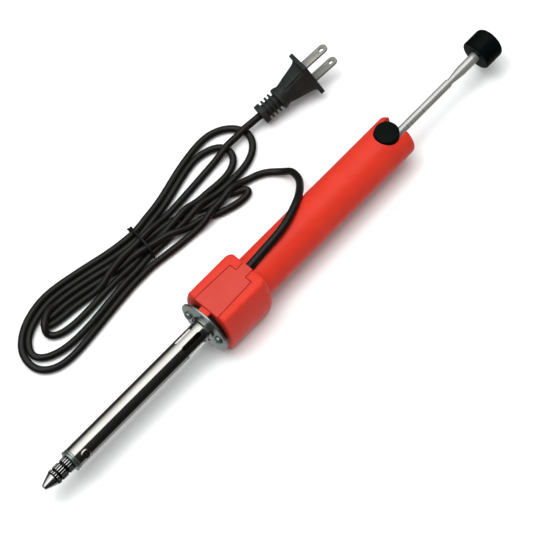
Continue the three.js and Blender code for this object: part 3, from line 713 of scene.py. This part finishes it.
def make_nozzle():
    """The hollow nozzle: a cone, then bands of straight knurling with turned grooves between them."""
    start, end, band_r = span("nozzle_tip")
    groove_r, face_r, bore_r = 4.05 * MM, 1.6 * MM, 0.75 * MM
    groove_depth = 0.65 * MM
    profile = [(start + 6 * MM, bore_r), (start + 0.3 * MM, bore_r), (start, bore_r + 0.25 * MM)]
    profile += [(start, face_r - 0.2 * MM), (start + 0.2 * MM, face_r)]
    cone_r = band_r - 0.45 * MM
    for i in range(1, 9):
        t = i / 8
        x = start + 0.2 * MM + (NOZZLE_SHOULDER - start) * t
        profile.append((x, face_r + (cone_r - face_r) * t ** 0.92))
    knurled = set()  # which rings of the profile carry the ridges
    for first, last in NOZZLE_BANDS:
        first, last = first * MM, last * MM
        profile += [(first - 0.25 * MM, groove_r), (first - 0.1 * MM, groove_r)]
        for x in (first, first + 0.3 * MM, last - 0.3 * MM, last):
            knurled.add(len(profile))
            inset = 0 if first < x < last else 0.3 * MM
            profile.append((x, band_r - inset))
        profile += [(last + 0.1 * MM, groove_r), (last + 0.25 * MM, groove_r)]
    profile += [(end, groove_r), (end, bore_r), (start + 6 * MM, bore_r)]

    def knurl(k, angle, r):
        if k not in knurled:
            return r
        across = abs(math.sin(KNURLS * angle / 2))
        return r - groove_depth * max(0.0, 1 - 1.2 * across)

    nozzle = lathe("nozzle_piece", profile, KNURLS * 8, knurl)
    return finish_piece(nozzle, "nozzle_tip", angle=40)


def make_collar():
    """The retaining ring at the front of the barrel: a proud bead, a groove and a plain band."""
    start, end, r = span("barrel_collar")
    bore, bead = 4.3 * MM, 0.6 * MM
    profile = [(end, bore), (start, bore), (start, r - bead)]
    profile += arc(start + bead, r - bead, bead, 180, 45)
    groove_r = r - 1.2 * MM
    band_r = r - 0.25 * MM
    profile += [(start + 2 * bead, groove_r), (start + 2.7 * bead, groove_r), (start + 2.9 * bead, band_r)]
    profile += [(end - 0.15 * MM, band_r), (end, r - 0.4 * MM), (end, bore)]
    return finish_piece(lathe("collar_piece", profile), "barrel_collar")


VENT_START, VENT_END = -77 * MM, -62.6 * MM
VENT_WIDTH = 2.7 * MM
VENT_COUNT = 6
VENT_FIRST = 27  # degrees from the top to the first slot


def make_barrel():
    """The polished tube round the heater, with a ring of vent slots and a foot rolled on to the flange."""
    start, end, foot_r = span("heater_barrel")
    r, bore_r = 6.4 * MM, 5.6 * MM
    foot = end - 1.6 * MM
    profile = [(start, bore_r), (start, r - 0.15 * MM), (start + 0.15 * MM, r)]
    profile += [(start + (foot - start) * i / 12, r) for i in range(1, 12)]
    profile += [(foot - 0.9 * MM, r), (foot - 0.5 * MM, r + 0.12 * MM), (foot, r + 0.55 * MM)]
    profile += [(foot + 0.5 * MM, foot_r), (end, foot_r), (end, bore_r), (start, bore_r)]
    barrel = lathe("barrel_piece", profile, 128)
    half = VENT_WIDTH / 2
    vent = arc(VENT_START + half, 0, half, 90, 270, 12) + arc(VENT_END - half, 0, half, -90, 90, 12)
    cutters = []
    for i in range(VENT_COUNT):
        cutter = prism(f"vent_{i}", vent, 0, 12 * MM)
        angle = VENT_FIRST + 360 * i / VENT_COUNT
        cutter.data.transform(Matrix.Translation(AXIS) @ rotation(angle, "X"))
        cutters.append(cutter)
    carve(barrel, cutters)
    finish_piece(barrel, "heater_barrel", angle=30)
    barrel.data.materials.append(MATERIALS["nichrome"])
    for polygon in barrel.data.polygons:
        if from_axis(polygon.center).length < bore_r + 0.1 * MM and start < polygon.center.x < end:
            polygon.material_index = 1  # the bore gets the dark winding material: painted shade seen through the vent slots
    return radial_normals(barrel, r)


def make_set_screw():
    """The small slotted screw that grips the nozzle from the side of the barrel."""
    low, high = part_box("tip_set_screw")
    x = (low.x + high.x) / 2
    head_r = (high.x - low.x) / 2
    seat, height = 6.0 * MM, 1.5 * MM
    profile = [(seat, 0), (seat, head_r), (seat + height * 0.55, head_r)]
    profile += [(seat + height * 0.85, head_r * 0.86), (seat + height, head_r * 0.6), (seat + height, 0)]
    screw = upright("set_screw_piece", profile, 48)
    slot = rectangle(-head_r * 1.2, head_r * 1.2, 0.4 * MM)
    carve(screw, [prism("slot", slot, seat + height * 0.5, seat + height * 1.5)])
    slot_turn = rotation(25, "Z")
    to_side = rotation(52, "X")
    screw.data.transform(Matrix.Translation(AXIS + Vector((x, 0, 0))) @ to_side @ slot_turn)
    return finish_piece(screw, "tip_set_screw")


# ---------------------------------------------------------------- flange and screws
def make_flange():
    """The plated disc, and the three tabs folded back over the foot of the barrel."""
    start, end, r = span("mounting_flange")
    edge, hole = 0.35 * MM, 6.6 * MM
    profile = [(end, hole), (start, hole), (start, r - edge)]
    profile += arc(start + edge, r - edge, edge, 180, 90, 4)
    profile += arc(end - edge, r - edge, edge, 90, 0, 4)
    profile += [(end, hole)]
    pieces = [lathe("flange_piece", profile, 128)]
    foot_r = span("heater_barrel")[2]
    for k in range(3):
        tab = fold_tab(f"tab_{k}", start, foot_r, 1.9 * MM)
        tab.data.transform(Matrix.Translation(AXIS) @ rotation(35 + 120 * k, "X"))
        pieces.append(tab)
    return finish_piece(join_objects(pieces), "mounting_flange")


def fold_tab(name, face_x, foot_r, half_width):
    """A strip that rises from the flange outside the barrel's foot and folds in over it."""
    thick = 0.7 * MM
    outer = foot_r + 0.8 * MM
    line = [(face_x, outer), (face_x - 1.6 * MM, outer), (face_x - 2.5 * MM, outer - 0.6 * MM)]
    line.append((face_x - 2.7 * MM, foot_r - 1.1 * MM))
    inner = [(x + thick * 0.2, z - thick) for x, z in reversed(line)]
    tab = prism(name, line + inner, -half_width, half_width)
    tab.data.transform(rotation(90, "X"))
    return bevel(tab, 0.15 * MM, 2)


def make_flange_screw(side, node):
    """A pan-head screw with a cross recess."""
    low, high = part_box(node)
    centre = (low + high) / 2
    head_r = (high.y - low.y) / 2
    height, edge = 1.9 * MM, 0.3 * MM
    profile = [(0, 0), (0, head_r * 0.97), (edge, head_r)]
    for i in range(1, 9):
        angle = math.radians(90 * i / 8)
        profile.append((edge + (height - edge) * math.sin(angle), head_r * (0.35 + 0.65 * math.cos(angle))))
    profile.append((height, 0))
    screw = upright(f"flange_screw_piece_{side}", profile, 48)
    arm, half = 1.75 * MM, 0.42 * MM
    cross = [rectangle(-arm, arm, half), rectangle(-half, half, arm)]
    carve(screw, [prism("cross", outline, 0.9 * MM, 3 * MM) for outline in cross])
    bevel(screw, 0.08 * MM, 2, 40)
    cross_turn = rotation(20 + 35 * side, "Z")
    face_x = span("mounting_flange")[0]
    place = Matrix.Translation((face_x, centre.y, centre.z)) @ rotation(-90, "Y")
    screw.data.transform(place @ cross_turn)
    return finish_piece(screw, node)


def make_spacer():
    """The dark washer that keeps the barrel's heat from the housing."""
    start, end, r = span("flange_spacer")
    hole, edge = 4.5 * MM, 0.3 * MM
    profile = [(start, hole), (start, r - edge), (start + edge, r), (end - edge, r), (end, r - edge)]
    profile += [(end, hole), (start, hole)]
    return finish_piece(lathe("spacer_piece", profile), "flange_spacer")


# ---------------------------------------------------------------- housing and cover
HOUSING_HALF = 18 * MM  # half its height
HOUSING_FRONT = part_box("terminal_cover")[0].x
HOUSING_REAR = span("front_housing")[1]
HOUSING_TAPER = 0.11  # how much narrower the housing is at its rear edge
LUG = (3.4 * MM, 13.9 * MM, 16.6 * MM)  # half width, lowest and highest point above the axis
COVER_REAR = -25.3 * MM
COVER_HALF = (8.9 * MM, 7.9 * MM)  # half its width at the front and at the rear
TONGUE_HALF = 3.45 * MM


def quadratic(a, b, c, t):
    return a * (1 - t) ** 2 + b * 2 * t * (1 - t) + c * t * t


def housing_section(steps=10):
    """The housing's outline in (y, z): flat top and bottom, rounded shoulders, bulging sides."""
    flat = Vector((11.4 * MM, HOUSING_HALF))
    corner = Vector((14.2 * MM, HOUSING_HALF))
    shoulder = Vector((14.6 * MM, 15.6 * MM))
    below = Vector((shoulder.x, -shoulder.y))
    bulge = Vector((20.2 * MM, 0))
    upper = [quadratic(flat, corner, shoulder, i / steps) for i in range(steps)]
    upper += [quadratic(shoulder, bulge, below, i / (2 * steps)) for i in range(steps + 1)]
    right = upper + [Vector((p.x, -p.y)) for p in reversed(upper[:-1])]
    return right + [Vector((-p.x, p.y)) for p in reversed(right)]


def cover_outline(margin, overrun):
    """The cover's outline in (x, y): a plate that narrows to the rear, and the tongue over the cord."""
    front, step, rear = HOUSING_FRONT - overrun, COVER_REAR + margin, HOUSING_REAR + overrun
    half = [h + margin for h in COVER_HALF]
    tongue = TONGUE_HALF + margin
    right = [(front, -half[0]), (step, -half[1]), (step, -tongue), (rear, -tongue)]
    return right + [(x, -y) for x, y in reversed(right)]


def make_housing():
    """The front housing: rounded front rim, sides that draw in to the handle, a recess for the cover."""
    taper_start = -23.6 * MM
    rim = 1.3 * MM
    section = housing_section()
    rings = []
    for i in range(6):
        angle = math.radians(18 * i)
        x = HOUSING_FRONT + rim * (1 - math.cos(angle))
        scale = 1 - rim / (17 * MM) * (1 - math.sin(angle))
        rings.append([(x, p.x * scale, AXIS_Z + p.y * scale) for p in section])
    for i in range(7):
        t = i / 6
        x = taper_start + (HOUSING_REAR - taper_start) * t
        narrow = 1 - HOUSING_TAPER * t ** 2.2
        rings.append([(x, p.x * narrow, AXIS_Z + p.y * (1 - 0.03 * t ** 4)) for p in section])
    housing = skin("housing_piece", rings)
    half, low, high = LUG
    lug_outline = rectangle(span("mounting_flange")[1], HOUSING_FRONT + 2 * rim, half)
    lug = prism("lug", lug_outline, AXIS_Z + low, AXIS_Z + high)
    bevel(lug, 0.6 * MM, 3)
    carve(housing, [lug], "UNION")
    top = AXIS_Z + HOUSING_HALF
    seam = prism("seam", cover_outline(0.36 * MM, 3 * MM), top - 1.6 * MM, top + 2 * MM)
    way_r = 2.95 * MM
    sleeve_way = lathe("sleeve_way", [(0, 0), (0, way_r), (9 * MM, way_r), (9 * MM, 0)], 40)
    sleeve_way.data.transform(Matrix.Translation((-24 * MM, 0.45 * MM, 14.05 * MM)))
    carve(housing, [seam, sleeve_way])
    bevel(housing, 0.2 * MM, 2, 50)
    return finish_piece(housing, "front_housing", angle=30)


def make_cover():
    """The cover plate, set in flush with its edges just broken."""
    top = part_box("terminal_cover")[1].z
    cover = prism("cover_piece", cover_outline(0, 0), top - 1.5 * MM, top + 0.12 * MM)
    bevel(cover, 0.35 * MM, 3)
    return finish_piece(cover, "terminal_cover")


# ---------------------------------------------------------------- handle
def make_handle():
    """The grip: a round tube with a rounded rim, cut open on top at the rear for the button."""
    end, r = span("handle_shell")[1:]
    start = HOUSING_REAR + 0.05 * MM
    rim, bore = 2.6 * MM, 4.7 * MM
    profile = [(start, 0), (start, r)]
    profile += [(start + (end - rim - start) * i / 10, r) for i in range(1, 10)]
    profile += arc(end - rim, r - rim, rim, 90, 0, 8)
    profile += [(end, bore), (83 * MM, bore), (83 * MM, 0)]
    handle = lathe("handle_piece", profile, 128)
    button_x = sum(c.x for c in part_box("release_button")) / 2
    pocket_r = 7.75 * MM
    pocket = upright("pocket", [(-8.6 * MM, 0), (-8.6 * MM, pocket_r), (20 * MM, pocket_r), (20 * MM, 0)], 96)
    pocket.data.transform(Matrix.Translation((button_x, 0, AXIS_Z)))
    rear = rectangle(button_x, end + 2 * MM, 7 * MM)
    slot = prism("rear_slot", rear, AXIS_Z - 4.6 * MM, AXIS_Z + 20 * MM)
    seat_r = 2.9 * MM
    seat = upright("seat", [(-11.5 * MM, 0), (-11.5 * MM, seat_r), (0, seat_r), (0, 0)], 32)
    seat.data.transform(Matrix.Translation((96.6 * MM, 0, AXIS_Z)))
    groove = along_sleeve("groove", [(0, 0), (0, 2.95 * MM), (36 * MM, 2.75 * MM), (36 * MM, 0)])
    carve(handle, [pocket, slot, seat, groove])
    bevel(handle, 0.25 * MM, 2, 50)
    finish_piece(handle, "handle_shell", angle=30)
    return radial_normals(handle, r)


# ---------------------------------------------------------------- plunger
def make_rod():
    """The plunger rod, with the step and neck that the latch plate drops into."""
    end = span("plunger_rod")[1]
    r, neck_r, thick_r = 2.5 * MM, 2.0 * MM, 3.0 * MM
    neck, cone, thick = 147.7 * MM, 149.8 * MM, 158.4 * MM
    profile = [(73 * MM, 0), (73 * MM, 1.6 * MM), (80 * MM, 1.6 * MM), (80 * MM, r), (neck - 0.2 * MM, r)]
    profile += [(neck, r - 0.2 * MM), (neck, neck_r), (cone, neck_r)]
    for i in range(1, 8):
        t = i / 8
        profile.append((cone + (thick - cone) * t, neck_r + (thick_r - neck_r) * t ** 0.9))
    profile += [(thick, thick_r), (thick + 0.4 * MM, thick_r), (end, thick_r), (end, 0)]
    return finish_piece(lathe("rod_piece", profile, 64), "plunger_rod", body="plunger", angle=25)


def make_knob():
    """The knob: a socket for the rod, a small front edge and a well rounded rear one."""
    start, end, r = span("plunger_knob")
    hole, depth = 3.15 * MM, 6 * MM
    front, rear = 1.3 * MM, 3.2 * MM
    profile = [(start + depth, 0), (start + depth, hole), (start + 0.4 * MM, hole), (start, hole + 0.4 * MM)]
    profile.append((start, r - front))
    profile += arc(start + front, r - front, front, 180, 90)
    profile += arc(end - rear, r - rear, rear, 90, 0, 10)
    profile += [(end - 0.15 * MM, r * 0.4), (end - 0.2 * MM, 0)]
    return finish_piece(lathe("knob_piece", profile), "plunger_knob", body="plunger")


# ---------------------------------------------------------------- trigger button
def make_button():
    """The trigger button: a round pad with a rounded edge and a slight crown."""
    low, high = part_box("release_button")
    centre = (low + high) / 2
    r = (high.y - low.y) / 2
    bottom = low.z - AXIS_Z
    edge, crown = 0.9 * MM, 0.5 * MM
    side_top = high.z - AXIS_Z - crown
    profile = [(bottom, 0), (bottom, r - 0.3 * MM), (bottom + 0.3 * MM, r)]
    profile += arc(side_top - edge, r - edge, edge, 90, 0)
    for i in range(1, 9):
        t = i / 8
        profile.append((side_top + crown * math.sin(t * math.pi / 2), (r - edge) * (1 - t)))
    button = upright("button_piece", profile, 96)
    button.data.transform(Matrix.Translation((centre.x, centre.y, AXIS_Z)))
    return finish_piece(button, "release_button", body="button")


# ---------------------------------------------------------------- springs
COIL_STEPS = 18  # points in one turn


def make_spring(node, axis, coil_r, wire_r, turns):
    """A coil spring with an even pitch along one axis."""
    low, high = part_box(node)
    centre = (low + high) / 2
    length = (high - low).dot(Vector(axis))
    steps = turns * COIL_STEPS
    path = []
    for i in range(steps + 1):
        angle = 2 * math.pi * i / COIL_STEPS
        along = wire_r + (length - 2 * wire_r) * i / steps
        path.append((along, coil_r * math.cos(angle), coil_r * math.sin(angle)))
    spring = sweep(node + "_piece", path, wire_r, 8)
    if axis[2]:
        spring.data.transform(rotation(-90, "Y"))
        start = Vector((centre.x, centre.y, low.z))
    else:
        start = Vector((low.x, centre.y, centre.z))
    spring.data.transform(Matrix.Translation(start))
    finish_piece(spring, node, angle=60)
    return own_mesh(spring)


# ---------------------------------------------------------------- plug
# the plug lies on a corner of its face plate: rolled, tipped down and turned towards the tool, in degrees
PLUG_TURN = Euler([math.radians(a) for a in (70.6, -13, -8.8)], "XYZ").to_matrix().to_4x4()
PLUG_PLACE = Matrix.Translation(Vector((66, 73.4, 6.9)) * MM) @ PLUG_TURN


def make_plug_relief():
    """The ribbed strain relief: an end ring, three fins on a thinner core, and a collar."""
    ring, core, edge = 6.2, 4.3, 0.5
    profile = [(0, 0), (0, ring - edge)]
    profile += arc(edge, ring - edge, edge, 180, 90, 5)
    profile += [(3.2, ring), (3.5, ring - 0.3), (3.6, core)]
    for i in range(3):
        x, r = 5 + 2.7 * i, ring + 0.15 * i
        fin = [(-0.1, core), (0, r - 0.3), (0.25, r), (0.95, r), (1.2, r - 0.3), (1.3, core)]
        profile += [(x + dx, fin_r) for dx, fin_r in fin]
    collar = ring + 0.8
    profile += [(12.9, core), (13.3, collar - 0.7), (13.8, collar), (15.6, collar)]
    profile += [(16.6, collar - 1.2), (16.6, 0)]
    piece = lathe("plug_relief_piece", [(x * MM, r * MM) for x, r in profile], 64)
    piece.data.transform(PLUG_PLACE @ Matrix.Translation(-AXIS))
    return finish_piece(piece, "plug_relief")


def body_ring(width, height, corner, crease, steps=8):
    """A rounded rectangle in (y, z) with a groove of the given depth down each of its corners."""
    ring = []
    w, h = width / 2 - corner, height / 2 - corner
    for cy, cz, first in ((w, h, 0), (-w, h, 90), (-w, -h, 180), (w, -h, 270)):
        for i in range(steps + 1):
            angle = math.radians(first + 90 * i / steps)
            radius = corner - (crease if i == steps // 2 else 0)
            ring.append((cy + radius * math.cos(angle), cz + radius * math.sin(angle)))
    return ring


PLATE_X, PLATE_THICKNESS = 34.8 * MM, 2.6 * MM
PLATE_WIDTH, PLATE_HEIGHT, PLATE_CORNER = 25.5 * MM, 17 * MM, 1.2 * MM
# the plug's body: distance along it, width, height, corner radius and depth of the corner grooves, in mm
BODY_STATIONS = [
    (15.2, 12.4, 11.6, 5, 0), (16.2, 13.4, 11.8, 5, 0), (17.4, 12.6, 10.6, 4.6, 0),
    (18.6, 12.7, 10.2, 4.2, 0.1), (20, 13.3, 10.4, 4, 0.5), (24, 15.2, 11.4, 4, 0.9),
    (28, 16.9, 12.3, 4, 0.9), (31, 18, 13, 3.8, 0.7), (33, 18.8, 13.6, 3.6, 0.4),
    (34.2, 19.6, 14.2, 3.2, 0.2), (34.9, 21, 15, 3, 0),
]


def make_plug_body():
    """The moulded body, waisted into the strain relief and flared into its face plate."""
    rings = []
    for x, width, height, corner, crease in BODY_STATIONS:
        ring = body_ring(width * MM, height * MM, corner * MM, crease * MM)
        rings.append([(x * MM, y, z) for y, z in ring])
    body = skin("plug_body_piece", rings)
    outline = body_ring(PLATE_WIDTH, PLATE_HEIGHT, PLATE_CORNER, 0)
    faces = (PLATE_X, PLATE_X + PLATE_THICKNESS)
    plate = skin("face_plate", [[(x, y, z) for y, z in outline] for x in faces])
    joined = join_objects([body, bevel(plate, 0.3 * MM, 3, 50)])
    joined.data.transform(PLUG_PLACE)
    return finish_piece(joined, "plug_body", angle=50)


BLADE_PITCH = 12.7 * MM
BLADE_EDGE = 0.2 * MM  # how much its edges are broken


def make_blade(side, node):
    """A flat blade with a round end, a broken edge and the usual hole."""
    start, length, half, thick = 37.2 * MM, 17.7 * MM, 3.15 * MM, 1.5 * MM
    tip = start + length
    data = bpy.data.curves.new(node, "CURVE")
    data.dimensions = "2D"
    data.fill_mode = "BOTH"
    data.extrude = thick / 2 - BLADE_EDGE
    data.bevel_depth = BLADE_EDGE
    data.bevel_resolution = 2
    data.offset = -BLADE_EDGE
    outline = [(start, -half)] + arc(tip - half, 0, half, -90, 90, 24) + [(start, half)]
    hole = arc(tip - 4 * MM, 0, 1.5 * MM, 0, 360, 32)[:-1]
    for points in (outline, hole):
        spline = data.splines.new("POLY")
        spline.points.add(len(points) - 1)
        spline.use_cyclic_u = True
        for point, (x, y) in zip(spline.points, points):
            point.co = (x, y, 0, 1)
    curve = link(node + "_curve", data)
    graph = bpy.context.evaluated_depsgraph_get()
    mesh = bpy.data.meshes.new_from_object(curve.evaluated_get(graph))
    bpy.data.objects.remove(curve)
    merge_points(mesh, 1e-6)
    blade = link(node + "_piece", mesh)
    flat = rotation(90, "X")
    shift = Matrix.Translation((0, side * BLADE_PITCH / 2, 0))
    blade.data.transform(PLUG_PLACE @ shift @ flat)
    return finish_piece(blade, node)


# ---------------------------------------------------------------- floor and light
def make_floor():
    side = 6
    corners = [(x, y, -0.2 * MM) for x, y in rectangle(-side, side, side)]
    floor = from_faces("floor", corners, [[0, 1, 2, 3]])
    surface = Surface("floor", 0.7, specular=0.2)
    surface.colour(surface.noise(3, 2), (0.850, 0.862, 0.864), (0.868, 0.880, 0.882))
    floor.data.materials.append(surface.material)
    floor.visible_glossy = False  # polished metal mirrors the dark studio round the bench instead


def area_light(name, place, size, power):
    """A lamp that shines on the tool and isn't mirrored in it."""
    data = bpy.data.lights.new(name, "AREA")
    data.shape = "RECTANGLE"
    data.size, data.size_y = size
    data.energy = power
    light = link(name, data)
    light.location = place
    light.rotation_euler = (Vector((0, 0, 0.02)) - Vector(place)).to_track_quat("-Z", "Y").to_euler()
    light.visible_glossy = False


# the studio round the tool, by a direction's Y and Z: it lights the tool, and polished metal mirrors it
SKY_BRIGHTNESS = 2.4
SKY_STOPS = [(0.0, 0.02), (0.30, 0.02), (0.37, 0.20), (0.62, 0.42), (0.88, 0.85), (1.0, 1.0)]  # Z, brightness
NEAR_EDGE = (-0.27, -0.21)  # the studio is dark on the near side; it fades out between these
NEAR_DARK = 0.02
DARK_STUDIO = 0.008  # the least light from any side
BOUNCE = 0.20  # light from straight below
BOUNCE_EDGE = (-0.42, -0.70)  # it fades in between these heights


def make_world():
    """A studio: a large diffuser over the far side that fades down to a dark band, and a dark near side."""
    world = bpy.data.worlds.new("studio")
    bpy.context.scene.world = world
    world.use_nodes = True
    tree = world.node_tree
    coordinates = tree.nodes.new("ShaderNodeTexCoord")
    split = tree.nodes.new("ShaderNodeSeparateXYZ")
    tree.links.new(coordinates.outputs["Generated"], split.inputs["Vector"])
    by_height = tree.nodes.new("ShaderNodeValToRGB")
    tree.links.new(split.outputs["Z"], by_height.inputs["Fac"])
    stops = by_height.color_ramp.elements
    while len(stops) < len(SKY_STOPS):
        stops.new(0.5)
    for stop, (place, level) in zip(stops, SKY_STOPS):
        stop.position = place
        stop.color = (level, level, level, 1)
    by_side = ranged(tree, split.outputs["Y"], *NEAR_EDGE, NEAR_DARK, 1, "SMOOTHSTEP")
    from_below = ranged(tree, split.outputs["Z"], *BOUNCE_EDGE, DARK_STUDIO, BOUNCE, "SMOOTHSTEP")
    sky = combine(tree, "MULTIPLY", by_height.outputs["Color"], by_side)
    brightness = tree.nodes.new("ShaderNodeValue").outputs[0]
    brightness.default_value = SKY_BRIGHTNESS
    strength = combine(tree, "MULTIPLY", combine(tree, "ADD", sky, from_below), brightness)
    background = tree.nodes["Background"]
    background.inputs["Color"].default_value = (1, 1, 1, 1)
    tree.links.new(strength, background.inputs["Strength"])


def make_lights():
    make_world()
    area_light("key", (-0.35, 0.55, 1.9), (0.8, 0.8), 12.5)
    area_light("overhead", (0.05, -0.15, 2.2), (1.6, 1.6), 12.5)
    area_light("fill", (0.4, -1.6, 0.9), (1.6, 1.2), 10)
    bpy.context.scene.view_settings.view_transform = "Standard"


# ---------------------------------------------------------------- assembly
VENT_SHADE_MATERIALS = {"suction_tube": "nichrome"}  # steel given the dark winding's material: painted shade behind the vent slots


def finish_cad_nodes():
    """Gives the CAD nodes that stay as they are their procedural material."""
    for name, obj in frame["nodes"].items():
        if obj.hide_render:
            continue
        for slot in obj.material_slots:
            # painted shade: the suction tube behind the vents gets a near-black material
            slot.material = MATERIALS[VENT_SHADE_MATERIALS.get(name, SLOTS[name])]


make_cord_sleeve()
make_tie()
make_nozzle()
make_collar()
make_barrel()
make_set_screw()
make_flange()
make_flange_screw(0, "flange_screw_left")
make_flange_screw(1, "flange_screw_right")
make_spacer()
make_housing()
make_cover()
make_handle()
make_rod()
make_knob()
make_button()
make_spring("plunger_spring", (1, 0, 0), 7.2 * MM, 0.6 * MM, 13)
make_spring("button_spring", (0, 0, 1), 2.2 * MM, 0.3 * MM, 5)
relief = make_plug_relief()
plug_body = make_plug_body()
blades = [make_blade(1, "plug_blade_left"), make_blade(-1, "plug_blade_right")]
make_floor()
make_lights()
finish_cad_nodes()
